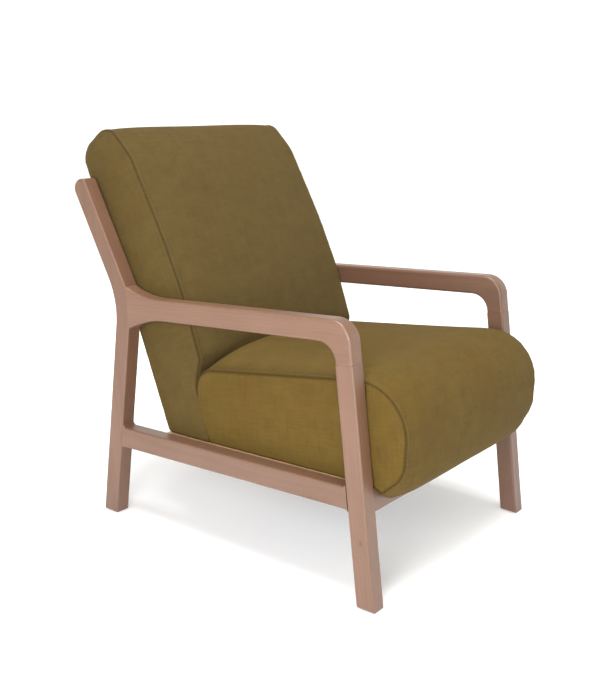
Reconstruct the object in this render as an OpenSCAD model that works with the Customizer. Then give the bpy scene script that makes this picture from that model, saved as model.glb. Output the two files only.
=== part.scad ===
/* [Overall] */
// Width over the two side frames
overall_w = 680; // [600:10:760]
// Distance on the floor from the front of the front feet to the back of the rear feet
foot_span = 742; // [660:1:820]
// Height of the cut top of the rear posts
post_top_h = 759; // [700:1:820]

/* [Side frame] */
// Thickness of every side frame member, across the chair
member_t = 38; // [30:1:46]
// Depth of the front leg, square to its length
front_leg_d = 41; // [34:1:50]
// Depth of the rear leg, square to its length
rear_leg_d = 40; // [34:1:50]
// Depth of the armrest, square to its length
arm_d = 46; // [38:1:56]
// Depth of the side rail, square to its length
rail_d = 46; // [38:1:56]
// Lean of the front leg from vertical, foot forward
front_rake = 10.1; // [6:0.1:14]
// Lean of the rear leg from vertical, foot backward
rear_rake = 3.7; // [2:0.1:7]
// Lean of the upper rear post from vertical, top backward
post_rake = 31; // [26:0.5:34]
// Height of the bend on the back edge of the rear leg
bend_h = 501; // [480:1:520]
// Radius of the bend on the back edge of the rear leg
bend_r = 180; // [120:5:220]
// Height of the armrest's top line where it meets the line of the front leg's front edge
arm_h = 569; // [540:1:600]
// Fall of the armrest towards the rear
arm_slope = 5.2; // [2:0.1:8]
// Outer radius of the armrest's front corner
arm_outer_r = 48; // [30:1:55]
// Inner radius of the armrest's front corner
arm_inner_r = 40; // [25:1:50]
// Radius of the curves where the armrest flares into the rear leg
arm_flare_r = 230; // [160:5:250]
// Height of the side rail's lower edge at the front leg
rail_h = 196; // [170:1:220]
// Fall of the side rail towards the rear
rail_slope = 2.7; // [1:0.1:5]
// Radius of the fillets between the side rail and the legs
rail_fillet_r = 8; // [4:1:12]

/* [Front rail] */
// Thickness of the front rail
front_rail_t = 24; // [18:1:28]
// Height of the front rail's section
front_rail_d = 46; // [38:1:50]
// Height of the front rail's lower edge above the floor
front_rail_h = 191; // [175:1:205]
// Set back of the front rail behind the front legs' front face
front_rail_recess = 2; // [0:0.5:6]

/* [Seat] */
// Height of the seat's top at its front edge
seat_h = 441; // [420:1:460]
// Fall of the seat's top towards the rear
seat_slope = 7.4; // [4:0.1:9]
// Overhang of the seat's nose in front of the front feet
seat_nose = 17; // [5:1:30]
// Lean of the seat's rear face from vertical
seat_rear_rake = 20.5; // [16:0.5:24]
// Distance that the foot of the seat's rear face lies in front of the back cushion's front
seat_tuck = 35; // [25:1:50]

/* [Back] */
// Overall height of the chair
back_h = 868; // [840:1:900]
// Lean of the back cushion from vertical
back_rake = 24.5; // [20:0.5:28]
// Distance of the back cushion's rear behind the bend on the rear legs
back_set = 7; // [0:0.5:10]
// Thickness of the back cushion
back_t = 157; // [140:1:165]
// Radius of the roll at the back cushion's rear top edge
back_roll_r = 48; // [30:1:50]

/* [Fabric and clearances] */
// Thickness of the fabric covers
cover_t = 2; // [1:0.5:3]
// Gap between each side of the upholstery and the side frame
side_gap = 2; // [1:0.5:4]
// Gap between the seat cushion and the back cushion
cushion_gap = 1.5; // [0.5:0.5:4]

/* [Inner frame] */
// Thickness of the boards inside the seat and the back
board_t = 20; // [15:1:25]
// Height of the seat's boards
board_d = 40; // [32:1:44]
// Foam beside the back frame, between its uprights and the cover
side_pad = 12; // [6:1:20]
// Width of the back frame's uprights and cross boards
upright_w = 45; // [35:1:60]
// Number of zigzag springs in the seat
spring_count = 5; // [3:1:6]
// Diameter of the spring wire
spring_wire = 4; // [3:0.5:5]
// Number of webbing straps across the back
strap_count = 4; // [3:1:6]

/* [Fasteners] */
// Diameter of the frame dowels
dowel_dia = 10; // [8:1:12]
// Length of the frame dowels
dowel_l = 44; // [30:2:50]
// Diameter of the bolts that hold the seat and the back between the side frames
bolt_dia = 8; // [6:1:8]
// Outer diameter of the threaded inserts in the side frames
insert_dia = 12; // [12:1:14]
// Diameter of the glides under the feet
glide_dia = 22; // [16:1:28]
// Height that a glide stands out of a foot
glide_out = 2; // [1:0.5:4]

/* [Hidden] */
$fn = 48;

wood = "#a87c5e";
pine = "#d8b988";
fabric = "#6f5b2a";
foam = "#e8dfb0";
steel = "#b9bcc0";
black = "#222222";

// Small clearances
slide_gap = 0.2;   // between a fastener and the hole it passes through
hole_gap = 0.05;   // between a dowel or an insert and its hole
over = 1;          // how far a cutting shape runs past a face

// ---- plane geometry, on points [y, z] of the side view -------------------------------------

function unit(v) = v / norm(v);
function left_of(v) = [-v.y, v.x];
function cross2(u, v) = u.x * v.y - u.y * v.x;
// Direction of a line that leans back from vertical by the angle a
function leaning(a) = [sin(a), cos(a)];
// Direction of a line that runs to the rear and falls by the angle a
function falling(a) = [cos(a), -sin(a)];
// Point where the line through p along u meets the line through q along v
function meet(p, u, q, v) = p + u * cross2(q - p, v) / cross2(u, v);
// Point of the line through p along u at height z, or at the distance y from the front
function at_height(p, u, z) = p + u * (z - p.y) / u.y;
function at_depth(p, u, y) = p + u * (y - p.x) / u.x;

// Arc that rounds the corner b between its neighbours a and c
arc_step = 7.5;
function rounded_corner(a, b, c, r) =
    r <= 0 ? [b] :
    let (u = unit(a - b), v = unit(c - b),
         half = acos(u * v) / 2,
         centre = b + unit(u + v) * r / sin(half),
         from = b + u * r / tan(half) - centre,
         start = atan2(from.y, from.x),
         sweep = (180 - 2 * half) * sign(-cross2(u, v)),
         n = max(2, ceil(abs(sweep) / arc_step)))
    [for (i = [0:n]) centre + r * [cos(start + sweep * i / n), sin(start + sweep * i / n)]];

// Outline through corners [y, z, radius], each rounded by its radius
function outline(corners) =
    let (n = len(corners), p = [for (k = corners) [k.x, k.y]])
    [for (i = [0:n - 1]) each rounded_corner(p[(i + n - 1) % n], p[i], p[(i + 1) % n], corners[i].z)];

// The same corners, listed anticlockwise, moved in by d with their radii kept concentric
function inset(corners, d) =
    let (n = len(corners), p = [for (k = corners) [k.x, k.y]])
    [for (i = [0:n - 1])
        let (e = unit(p[i] - p[(i + n - 1) % n]), f = unit(p[(i + 1) % n] - p[i]),
             m = left_of(e), k = left_of(f),
             moved = p[i] + (m + k) * d / (1 + m * k),
             r = corners[i].z - d * sign(cross2(e, f)))
        [moved.x, moved.y, corners[i].z > 0 ? max(r, 0.5) : 0]];

function corner(p, r = 0) = [p.x, p.y, r];

// ---- lines of the side frame -----------------------------------------------------------------

inner_x = overall_w / 2 - member_t;        // inner face of each side frame
cover_x = inner_x - side_gap;              // outer face of the covers' side panels
core_x = cover_x - cover_t;                // outer face of the foam and the seat's boards
upright_x = core_x - side_pad;             // outer face of the back frame's uprights

front_u = leaning(front_rake);
front_face = [0, 0];
front_leg_back = [front_leg_d / cos(front_rake), 0];

rear_u = leaning(-rear_rake);
post_u = leaning(post_rake);
rear_leg_back = [foot_span, 0];
rear_leg_front = [foot_span - rear_leg_d / cos(rear_rake), 0];
bend = at_height(rear_leg_back, rear_u, bend_h);
post_front = bend - [rear_leg_d / cos(post_rake), 0];

arm_u = falling(arm_slope);
arm_top = at_height(front_face, front_u, arm_h);
arm_under = arm_top - [0, arm_d / cos(arm_slope)];
// Flat on the rear leg that the armrest is glued to, from its lower to its upper edge
flare_run = 52;
arm_seat_low = at_height(rear_leg_front, rear_u, at_depth(arm_under, arm_u, foot_span).y - 20);
arm_seat_high = at_height(post_front, post_u, at_depth(arm_top, arm_u, foot_span).y + 27);
flare_under = at_depth(arm_under, arm_u, arm_seat_low.x - flare_run);
flare_top = at_depth(arm_top, arm_u, arm_seat_high.x - flare_run + 6);
arm_inner_corner = meet(arm_under, arm_u, front_leg_back, front_u);
inner_turn = 90 + arm_slope - front_rake;
leg_top_back = arm_inner_corner - front_u * arm_inner_r * tan(inner_turn / 2 + front_rake - arm_slope);
leg_top_front = leg_top_back + left_of(front_u) * front_leg_d;

rail_u = falling(rail_slope);
rail_under = at_height(front_leg_back, front_u, rail_h);
rail_top = rail_under + left_of(rail_u) * rail_d;
// Height of the side rail's lower edge at the distance y from the front, raised by dz
function above_rail(y, dz = 0) = at_depth(rail_under, rail_u, y) + [0, dz];

// ---- outlines of the side frame --------------------------------------------------------------

edge_r = 5;         // small radius on the cut ends of legs and posts
post_tip_r = 22;    // radius on the rear corner of the post's top

front_leg_corners = [
    corner(at_height(front_face, front_u, glide_out)),
    corner(at_height(front_leg_back, front_u, glide_out)),
    corner(leg_top_back),
    corner(leg_top_front),
];

rear_leg_corners = [
    corner(at_height(rear_leg_front, rear_u, glide_out)),
    corner(at_height(rear_leg_back, rear_u, glide_out)),
    corner(bend, bend_r),
    corner(at_height(bend, post_u, post_top_h), post_tip_r),
    corner(at_height(post_front, post_u, post_top_h), edge_r),
    corner(arm_seat_high),
    corner(arm_seat_low),
];

arm_corners = [
    corner(leg_top_back),
    corner(arm_inner_corner, arm_inner_r),
    corner(flare_under, arm_flare_r),
    corner(arm_seat_low),
    corner(arm_seat_high),
    corner(flare_top, arm_flare_r - 20),
    corner(arm_top, arm_outer_r),
    corner(leg_top_front),
];

// The side rail's ends spread by their fillets along the legs
rail_front_low = meet(rail_under, rail_u, front_leg_back, front_u);
rail_front_high = meet(rail_top, rail_u, front_leg_back, front_u);
rail_rear_low = meet(rail_under, rail_u, rear_leg_front, rear_u);
rail_rear_high = meet(rail_top, rail_u, rear_leg_front, rear_u);
// Spread of a fillet along a leg, where the leg and the rail make the angle a
function fillet_reach(u, v) = rail_fillet_r / tan(acos(u * v) / 2);
rail_corners = [
    corner(rail_front_low - front_u * fillet_reach(-front_u, rail_u)),
    corner(rail_front_low, rail_fillet_r),
    corner(rail_rear_low, rail_fillet_r),
    corner(rail_rear_low - rear_u * fillet_reach(-rear_u, -rail_u)),
    corner(rail_rear_high + rear_u * fillet_reach(rear_u, -rail_u)),
    corner(rail_rear_high, rail_fillet_r),
    corner(rail_front_high, rail_fillet_r),
    corner(rail_front_high + front_u * fillet_reach(front_u, rail_u)),
];

// ---- outlines of the upholstery ----------------------------------------------------------------

board_low = 3;                              // lower edge of the seat's boards above the rail's
board_high = board_low + board_d;
spring_z = board_high + spring_wire / 2 / cos(rail_slope);    // middle of the springs
foam_low = board_high + spring_wire + 3;    // underside of the seat foam

front_rail_face = front_face + [front_rail_recess / cos(front_rake), 0];
front_rail_back = front_rail_face + [front_rail_t / cos(front_rake), 0];

back_u = leaning(back_rake);
low_back_u = leaning(back_rake - 2);        // the front is a little hollowed out towards the seat
high_back_u = leaning(back_rake + 7);
head_u = leaning(back_rake + 2.3);          // the rear swells a little above the posts

seat_u = falling(seat_slope);
seat_top = [80, seat_h];
// Foot of the back cushion's front, a little above the seat
back_rise = 11;
back_front = bend + [back_set - back_t / cos(back_rake), 0];
back_front_foot = meet(back_front, back_u, seat_top + [0, back_rise], seat_u);
seat_reach = back_front_foot.x - seat_tuck;

lip_face = front_rail_face - [1, 0];        // the seat's lip hangs just in front of the rail
lip_h = front_rail_h + 11;
nose_rise = 54;                             // from the lip's lower edge to the nose's lower bend
seat_rear_u = leaning(seat_rear_rake);
seat_rear = above_rail(seat_reach, foam_low);
seat_corners = [
    corner([at_height(lip_face, front_u, lip_h).x, lip_h], 10),
    corner(meet(lip_face, front_u, above_rail(0, foam_low), rail_u)),
    corner(seat_rear),
    corner(meet(seat_rear, seat_rear_u, seat_top, seat_u), 45),
    corner(at_depth(seat_top, seat_u, -seat_nose), 95),
    corner([-seat_nose, lip_h + nose_rise], 70),
];
// Skirts of the seat cover's side panels, which hide the boards
skirt_from = front_rail_back.x + 50;
skirt_to = seat_reach - 3;
skirt_corners = [
    corner(above_rail(skirt_from, board_low)),
    corner(above_rail(skirt_to, board_low)),
    corner(above_rail(skirt_to, foam_low + cover_t)),
    corner(above_rail(skirt_from, foam_low + cover_t)),
];

back_foot = above_rail(0, board_high + 0.05);
back_low = seat_rear + [cushion_gap / cos(seat_rear_rake), 0];
back_rear = bend + [back_set, 0];
back_heel = meet(back_foot, rail_u, back_rear, back_u);
middle_drop = 308;                          // depth of the front's middle bend below the top
brow_drop = 54;                             // depth of the front's upper bend below the top
head_drop = 77.5;                           // depth of the rear's upper bend below the top
back_middle = at_height(back_front_foot, low_back_u, back_h - middle_drop);
back_brow = at_height(back_middle, high_back_u, back_h - brow_drop);
back_head = at_height(back_rear, head_u, back_h - head_drop);
tuck_drop = 52;                             // depth of the bend behind the seat below the front's foot
// Ends of the short flat on the back cushion's top
brow_run = 58;                              // from the front's upper bend back to the top
top_front = [back_brow.x + brow_run, back_h];
top_rear = [back_head.x - back_roll_r - 4, back_h];
top_r = min(40, 1.25 * (top_rear.x - top_front.x));
back_corners = [
    corner(meet(back_foot, rail_u, back_low, seat_rear_u)),
    corner(back_heel, 12),
    corner(back_rear, 900),
    corner(back_head, 30),
    corner([back_head.x, back_h - back_roll_r], 45),
    corner(top_rear, top_r),
    corner(top_front, top_r),
    corner(back_brow, 110),
    corner(back_middle, 500),
    corner(back_front_foot, 12),
    corner(at_height(back_low, seat_rear_u, back_front_foot.y - tuck_drop) + [3, 0], 20),
];

// ---- the whole chair's origin -------------------------------------------------------------------

rear_leg_points = outline(rear_leg_corners);
back_points = outline(back_corners);
seat_points = outline(seat_corners);
chair_front = min([for (p = seat_points) p.x]);
chair_rear = max([for (p = concat(rear_leg_points, back_points)) p.x]);
mid_y = (chair_front + chair_rear) / 2;

// ---- shared solids ------------------------------------------------------------------------------

// Everything drawn from the side view's points is moved so that the origin is under the chair's middle
module placed() translate([0, -mid_y, 0]) children();

// An outline of the side view, made solid from x0 to x1
module slab(points, x0, x1) translate([x0, 0, 0]) rotate([90, 0, 90]) linear_extrude(x1 - x0) polygon(points);

// Left is the chair's -X side, seen from in front
module member(side, points)
    slab(points, side < 0 ? -overall_w / 2 : inner_x, side < 0 ? -inner_x : overall_w / 2);

module rod_x(p, x0, x1, dia) translate([x0, p.x, p.y]) rotate([0, 90, 0]) cylinder(h = x1 - x0, d = dia);

// Rod from -half to half about the point p of the side view, along the direction u
module rod_in_plane(x, p, u, l, dia)
    translate([x, p.x, p.y]) rotate([-atan2(u.x, u.y), 0, 0]) cylinder(h = l, d = dia, center = true);

module rod_pair(x, a, b, u, grow = 0)
    for (t = [0.27, 0.73]) rod_in_plane(x, a + (b - a) * t, u, dowel_l + grow, dowel_dia + grow);

// Dowels of one side frame, or the holes for them when grow is not zero
module dowels_arm_front(x, grow = 0) rod_pair(x, leg_top_back, leg_top_front, front_u, grow);
module dowels_arm_rear(x, grow = 0) rod_pair(x, arm_seat_low, arm_seat_high, arm_u, grow);
module dowels_rail_front(x, grow = 0) rod_pair(x, rail_front_low, rail_front_high, rail_u, grow);
module dowels_rail_rear(x, grow = 0) rod_pair(x, rail_rear_low, rail_rear_high, rail_u, grow);

member_x = overall_w / 2 - member_t / 2;    // middle of a side frame

// Dowels of the front rail, on its centre line
front_rail_low = at_height((front_rail_face + front_rail_back) / 2, front_u, front_rail_h);
module front_rail_rods(side, grow = 0)
    for (t = [0.27, 0.73])
        rod_x(front_rail_low + front_u * front_rail_d * t,
              side * inner_x - (dowel_l + grow) / 2, side * inner_x + (dowel_l + grow) / 2, dowel_dia + grow);

// ---- bolts and inserts --------------------------------------------------------------------------

// The seat's bolts run through its side boards, clear of the boards that cross between them
seat_bolt_ends = [109, 73];      // front bolt behind the front leg, rear bolt in front of the seat's rear
seat_bolt_y = [front_leg_d + seat_bolt_ends[0],
               (front_leg_d + seat_reach + seat_bolt_ends[0] - seat_bolt_ends[1]) / 2,
               seat_reach - seat_bolt_ends[1]];
seat_bolt_at = [for (y = seat_bolt_y) above_rail(y, rail_d / 2)];
// The back's bolts run through the middle of the back frame's uprights
back_bolt_line = back_rear - [(cover_t + board_t / 2) / cos(back_rake), 0];
back_bolt_rise = [59, 139];      // above the bend in the rear legs
back_bolt_at = [for (rise = back_bolt_rise) at_height(back_bolt_line, back_u, bend_h + rise)];
insert_l = 20;
insert_depth = insert_l + 4;
head_dia = bolt_dia * 1.75;
head_l = bolt_dia * 0.6;
washer_dia = bolt_dia * 2.4;
washer_t = 1.6;

module both_sides() {
    children();
    mirror([1, 0, 0]) children();
}

// Pocket in a side frame's inner face for an insert
module insert_pocket(side, at)
    for (p = at)
        rod_x(p, side < 0 ? -inner_x - insert_depth : inner_x - over,
              side < 0 ? -inner_x + over : inner_x + insert_depth, insert_dia + 2 * hole_gap);
module inserts(at)
    both_sides() for (p = at) difference() {
        rod_x(p, inner_x, inner_x + insert_l, insert_dia);
        rod_x(p, inner_x - over, inner_x + insert_l + over, bolt_dia + 2 * hole_gap);
    }
// Bolts driven outwards from a face that lies the given depth inside core_x
module bolts(at, depth)
    both_sides() for (p = at) {
        rod_x(p, core_x - depth - washer_t, inner_x + insert_l - over, bolt_dia);
        difference() {
            rod_x(p, core_x - depth - washer_t - head_l, core_x - depth - washer_t, head_dia);
            translate([core_x - depth - washer_t - head_l - over, p.x, p.y])
                rotate([0, 90, 0]) cylinder(h = head_l * 0.6 + over, d = bolt_dia * 0.8, $fn = 6);
        }
    }
module washers(at, depth)
    both_sides() for (p = at) difference() {
        rod_x(p, core_x - depth - washer_t, core_x - depth, washer_dia);
        rod_x(p, core_x - depth - washer_t - over, core_x - depth + over, bolt_dia + 2 * slide_gap);
    }
module bolt_holes(at)
    for (p = at) rod_x(p, -inner_x, inner_x, bolt_dia + 2 * slide_gap);

// ---- side frame nodes ---------------------------------------------------------------------------

module glide_seats(at)
    for (x = [-member_x, member_x]) translate([x, at.x, 0]) cylinder(h = glide_out * 2, d = glide_dia);
front_foot = (front_face + front_leg_back) / 2;
rear_foot = (rear_leg_front + rear_leg_back) / 2;

module front_leg(side) color(wood) placed() difference() {
    member(side, outline(front_leg_corners));
    dowels_arm_front(side * member_x, 2 * hole_gap);
    dowels_rail_front(side * member_x, 2 * hole_gap);
    front_rail_rods(side, 2 * hole_gap);
    glide_seats(front_foot);
}

module rear_leg(side) color(wood) placed() difference() {
    member(side, rear_leg_points);
    dowels_arm_rear(side * member_x, 2 * hole_gap);
    dowels_rail_rear(side * member_x, 2 * hole_gap);
    insert_pocket(side, back_bolt_at);
    glide_seats(rear_foot);
}

module armrest(side) color(wood) placed() difference() {
    member(side, outline(arm_corners));
    dowels_arm_front(side * member_x, 2 * hole_gap);
    dowels_arm_rear(side * member_x, 2 * hole_gap);
}

module side_rail(side) color(wood) placed() difference() {
    member(side, outline(rail_corners));
    dowels_rail_front(side * member_x, 2 * hole_gap);
    dowels_rail_rear(side * member_x, 2 * hole_gap);
    insert_pocket(side, seat_bolt_at);
}

module front_rail() color(wood) placed() difference() {
    slab([at_height(front_rail_face, front_u, front_rail_h),
          at_height(front_rail_back, front_u, front_rail_h),
          at_height(front_rail_back, front_u, front_rail_h + front_rail_d),
          at_height(front_rail_face, front_u, front_rail_h + front_rail_d)], -inner_x, inner_x);
    for (side = [-1, 1]) front_rail_rods(side, 2 * hole_gap);
}

module frame_dowels(side) color(pine) placed() {
    dowels_arm_front(side * member_x);
    dowels_arm_rear(side * member_x);
    dowels_rail_front(side * member_x);
    dowels_rail_rear(side * member_x);
}

module front_rail_dowels() color(pine) placed() for (side = [-1, 1]) front_rail_rods(side);

module foot_glides() color(black) placed() {
    glide_seats(front_foot);
    glide_seats(rear_foot);
}

// ---- seat nodes ---------------------------------------------------------------------------------

// Part of the seat's board plane from y0 to y1, z0 to z1 above the side rail's lower edge
function band(y0, y1, z0, z1) =
    [above_rail(y0, z0), above_rail(y1, z0), above_rail(y1, z1), above_rail(y0, z1)];

board_start = front_rail_back.x + 50;       // front of the boards, behind the leaning front rail
support_y = back_heel.x + 5 - board_t;      // front of the board under the back cushion's heel

module seat_side_board(side) color(pine) placed() difference() {
    slab(band(board_start, support_y + board_t, board_low, board_high),
         side < 0 ? -core_x : core_x - board_t, side < 0 ? -core_x + board_t : core_x);
    bolt_holes(seat_bolt_at);
}
module cross_board(y) color(pine) placed()
    slab(band(y, y + board_t, board_low, board_high), -core_x + board_t, core_x - board_t);
module seat_front_board() cross_board(board_start);
module seat_rear_board() cross_board(seat_reach - 12 - board_t);
module back_support_board() color(pine) placed() difference() {
    slab(band(support_y, support_y + board_t, board_low, board_high), -core_x + board_t, core_x - board_t);
    back_foot_rods(screw_dia + 2 * slide_gap);
}

// Zigzag springs run from the front board to the rear board, on top of both
spring_from = board_start + board_t / 2;
spring_to = seat_reach - 12 - board_t / 2;
spring_bars = 9;
bar_pitch = (spring_to - spring_from) / (spring_bars - 1) / cos(rail_slope);
bar_l = 50;
spring_span = 2 * core_x - 150;  // between the middles of the outer springs
spring_x = [for (i = [0:spring_count - 1]) (i / (spring_count - 1) - 0.5) * spring_span];
// Places things in the springs' own plane: y along the spring from its front bar, z up
module spring_plane(x) translate([x, spring_from, above_rail(spring_from, spring_z).y])
    rotate([-rail_slope, 0, 0]) children();
module zigzag_spring() linear_extrude(spring_wire, center = true) {
    for (i = [0:spring_bars - 1]) translate([0, i * bar_pitch]) square([bar_l, spring_wire], center = true);
    for (i = [0:spring_bars - 2]) let (s = i % 2 == 0 ? 1 : -1)
        translate([s * bar_l / 2, (i + 0.5) * bar_pitch]) difference() {
            circle(d = bar_pitch + spring_wire);
            circle(d = bar_pitch - spring_wire);
            translate([s > 0 ? -bar_l : 0, -bar_pitch]) square([bar_l, 2 * bar_pitch]);
        }
}
module seat_springs() color(steel) placed() for (x = spring_x) spring_plane(x) zigzag_spring();

clip_t = 1.5;
clip_l = 16;
clip_d = 8;
module spring_clip() difference() {
    translate([-clip_l / 2, -clip_d / 2, -spring_wire / 2]) cube([clip_l, clip_d, spring_wire + clip_t]);
    cube([clip_l + 2 * over, spring_wire + 2 * hole_gap, spring_wire + 2 * hole_gap], center = true);
}
module spring_clips() color(steel) placed()
    for (x = spring_x, i = [0, spring_bars - 1])
        spring_plane(x) translate([0, i * bar_pitch, 0]) spring_clip();

module spring_pad() color(black) placed()
    slab(band(spring_from + clip_d / 2 + over, spring_to - clip_d / 2 - over,
              board_high + spring_wire / cos(rail_slope) + slide_gap, foam_low + cover_t),
         -core_x + board_t, core_x - board_t);

seat_core = inset(seat_corners, cover_t);
module seat_foam() color(foam) placed() slab(outline(seat_core), -core_x, core_x);
module seat_cover() color(fabric) placed() difference() {
    union() {
        slab(seat_points, -cover_x, cover_x);
        both_sides() slab(outline(skirt_corners), core_x, cover_x);
    }
    slab(outline(seat_core), -core_x, core_x);
    // The underside is open between the side panels
    slab(band(board_start - 4, seat_reach - 12, foam_low - over, foam_low + cover_t + over), -core_x, core_x);
    bolt_holes(seat_bolt_at);
}
dust_t = 1;
module dust_cover() color(black) placed()
    slab(band(board_start, seat_reach, board_low - dust_t, board_low), -core_x, core_x);

// ---- back nodes ---------------------------------------------------------------------------------

// A strip along the back cushion's rear, s0 to s1 up from its foot, d0 to d1 in from its rear face
function strip(s0, s1, d0, d1) =
    let (n = left_of(back_u), ends = [[s0, d1], [s0, d0], [s1, d0], [s1, d1]])
    [for (k = ends) back_heel + back_u * k.x + n * k.y];
frame_from = 16;                 // foot of the back frame above the cushion's heel
head_room = 127;                 // from the top of the back frame to the cushion's top, along its rear
frame_to = (back_h - back_heel.y) / cos(back_rake) - head_room;
frame_in = cover_t + board_t;
webbing_t = 1.5;

module back_upright(side) color(pine) placed() difference() {
    slab(strip(frame_from, frame_to, cover_t, frame_in),
         side < 0 ? -upright_x : upright_x - upright_w, side < 0 ? -upright_x + upright_w : upright_x);
    bolt_holes(back_bolt_at);
    back_foot_rods(screw_dia + 2 * slide_gap);
}
module back_board(s) color(pine) placed()
    slab(strip(s, s + upright_w, cover_t, frame_in), -upright_x + upright_w, upright_x - upright_w);
module back_top_board() back_board(frame_to - upright_w);
module back_middle_board() back_board(strap_at(1) + (strap_w - upright_w) / 2);
module back_bottom_board() color(pine) placed() difference() {
    slab(strip(frame_from, frame_from + upright_w, cover_t, frame_in),
         -upright_x + upright_w, upright_x - upright_w);
    back_foot_rods(screw_dia + 2 * slide_gap);
}

strap_w = 60;
strap_margin = 70;
// Distance of a strap's lower edge up from the cushion's foot
function strap_at(i) =
    frame_from + strap_margin + i * (frame_to - frame_from - 2 * strap_margin - strap_w) / (strap_count - 1);
module back_webbing() color(black) placed() for (i = [0:strap_count - 1])
    slab(strip(strap_at(i), strap_at(i) + strap_w, frame_in, frame_in + webbing_t),
         -upright_x + 5, upright_x - 5);

back_core = inset(back_corners, cover_t);
module back_foam() color(foam) placed() difference() {
    slab(outline(back_core), -core_x, core_x);
    slab(strip(-over, frame_to, 0, frame_in + webbing_t), -upright_x, upright_x);
    bolt_holes(back_bolt_at);
    back_foot_rods(screw_dia + 2 * slide_gap);
}
module back_cover() color(fabric) placed() difference() {
    slab(back_points, -cover_x, cover_x);
    slab(outline(back_core), -core_x, core_x);
    bolt_holes(back_bolt_at);
    back_foot_rods(screw_dia + 2 * slide_gap);
}

// ---- fastener nodes -----------------------------------------------------------------------------

module seat_bolts() color(steel) placed() bolts(seat_bolt_at, board_t);
module seat_bolt_washers() color(steel) placed() washers(seat_bolt_at, board_t);
module seat_bolt_inserts() color(steel) placed() inserts(seat_bolt_at);
module back_bolts() color(steel) placed() bolts(back_bolt_at, upright_w + side_pad);
module back_bolt_washers() color(steel) placed() washers(back_bolt_at, upright_w + side_pad);
module back_bolt_inserts() color(steel) placed() inserts(back_bolt_at);

// Screws driven up through the support board into the back frame's bottom board
screw_dia = 6;
screw_l = board_d + 30;
screw_head_l = 3;
screw_x = [-180, 0, 180];
screw_foot = above_rail(support_y + board_t / 2, board_low - over);
module back_foot_rods(dia)
    for (x = screw_x) translate([x, screw_foot.x, screw_foot.y]) cylinder(h = screw_l, d = dia);
module back_foot_screws() color(steel) placed() {
    back_foot_rods(screw_dia);
    for (x = screw_x) translate([x, screw_foot.x, screw_foot.y - screw_head_l + 0.5])
        cylinder(h = screw_head_l, d = screw_dia * 2);
}

front_leg(-1);  // front_leg_left
front_leg(1);  // front_leg_right
rear_leg(-1);  // rear_leg_left
rear_leg(1);  // rear_leg_right
armrest(-1);  // armrest_left
armrest(1);  // armrest_right
side_rail(-1);  // side_rail_left
side_rail(1);  // side_rail_right
front_rail();
frame_dowels(-1);  // frame_dowels_left
frame_dowels(1);  // frame_dowels_right
front_rail_dowels();
foot_glides();
seat_side_board(-1);  // seat_side_board_left
seat_side_board(1);  // seat_side_board_right
seat_front_board();
seat_rear_board();
back_support_board();
seat_springs();
spring_clips();
spring_pad();
seat_foam();
seat_cover();
dust_cover();
back_upright(-1);  // back_upright_left
back_upright(1);  // back_upright_right
back_top_board();
back_middle_board();
back_bottom_board();
back_webbing();
back_foam();
back_cover();
seat_bolts();
seat_bolt_washers();
seat_bolt_inserts();
back_bolts();
back_bolt_washers();
back_bolt_inserts();
back_foot_screws();
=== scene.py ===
"""Looks of the wooden armchair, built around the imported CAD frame.

Metres, row frame: -Y is the front, +Z up."""
import math

import bpy
import numpy as np
from mathutils import Matrix, Vector
from mathutils.bvhtree import BVHTree
from mathutils.kdtree import KDTree


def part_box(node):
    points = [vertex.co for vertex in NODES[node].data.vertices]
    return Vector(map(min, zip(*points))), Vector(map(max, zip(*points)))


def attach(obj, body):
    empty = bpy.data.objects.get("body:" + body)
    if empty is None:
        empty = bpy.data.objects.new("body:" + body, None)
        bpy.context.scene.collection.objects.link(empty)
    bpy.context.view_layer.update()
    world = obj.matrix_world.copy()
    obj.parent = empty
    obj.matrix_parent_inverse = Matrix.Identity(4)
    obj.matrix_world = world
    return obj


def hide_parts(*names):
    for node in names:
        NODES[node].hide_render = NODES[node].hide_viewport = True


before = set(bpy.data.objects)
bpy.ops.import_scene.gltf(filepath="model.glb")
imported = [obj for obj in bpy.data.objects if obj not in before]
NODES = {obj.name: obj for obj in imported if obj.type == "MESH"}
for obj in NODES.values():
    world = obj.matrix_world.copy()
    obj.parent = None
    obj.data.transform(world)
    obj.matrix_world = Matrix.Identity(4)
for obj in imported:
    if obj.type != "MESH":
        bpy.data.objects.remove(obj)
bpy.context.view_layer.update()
MM = 0.001

# ---------------------------------------------------------------- side view geometry
# Points are (y, z) in mm, from the front feet

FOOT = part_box("front_leg_left")
GLIDE = 2.0
FRONT_RAKE, REAR_RAKE, POST_RAKE = 10.1, 3.7, 31.0
ARM_SLOPE, RAIL_SLOPE = 5.2, 2.7
HALF_W, TIMBER = 340.0, 38.0
INNER_X = HALF_W - TIMBER
# Row Y of the front feet's front edge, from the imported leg's own box at the glide's height
ORIGIN_Y = FOOT[0].y / MM - GLIDE * math.tan(math.radians(FRONT_RAKE))


def vec(*p):
    return np.array(p, float)


def unit(v):
    return v / np.linalg.norm(v)


def left_of(v):
    return vec(-v[1], v[0])


def cross2(u, v):
    return u[0] * v[1] - u[1] * v[0]


def leaning(a):
    return vec(math.sin(math.radians(a)), math.cos(math.radians(a)))


def falling(a):
    return vec(math.cos(math.radians(a)), -math.sin(math.radians(a)))


def meet(p, u, q, v):
    return p + u * cross2(q - p, v) / cross2(u, v)


def at_height(p, u, z):
    return p + u * (z - p[1]) / u[1]


def at_depth(p, u, y):
    return p + u * (y - p[0]) / u[0]


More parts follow.
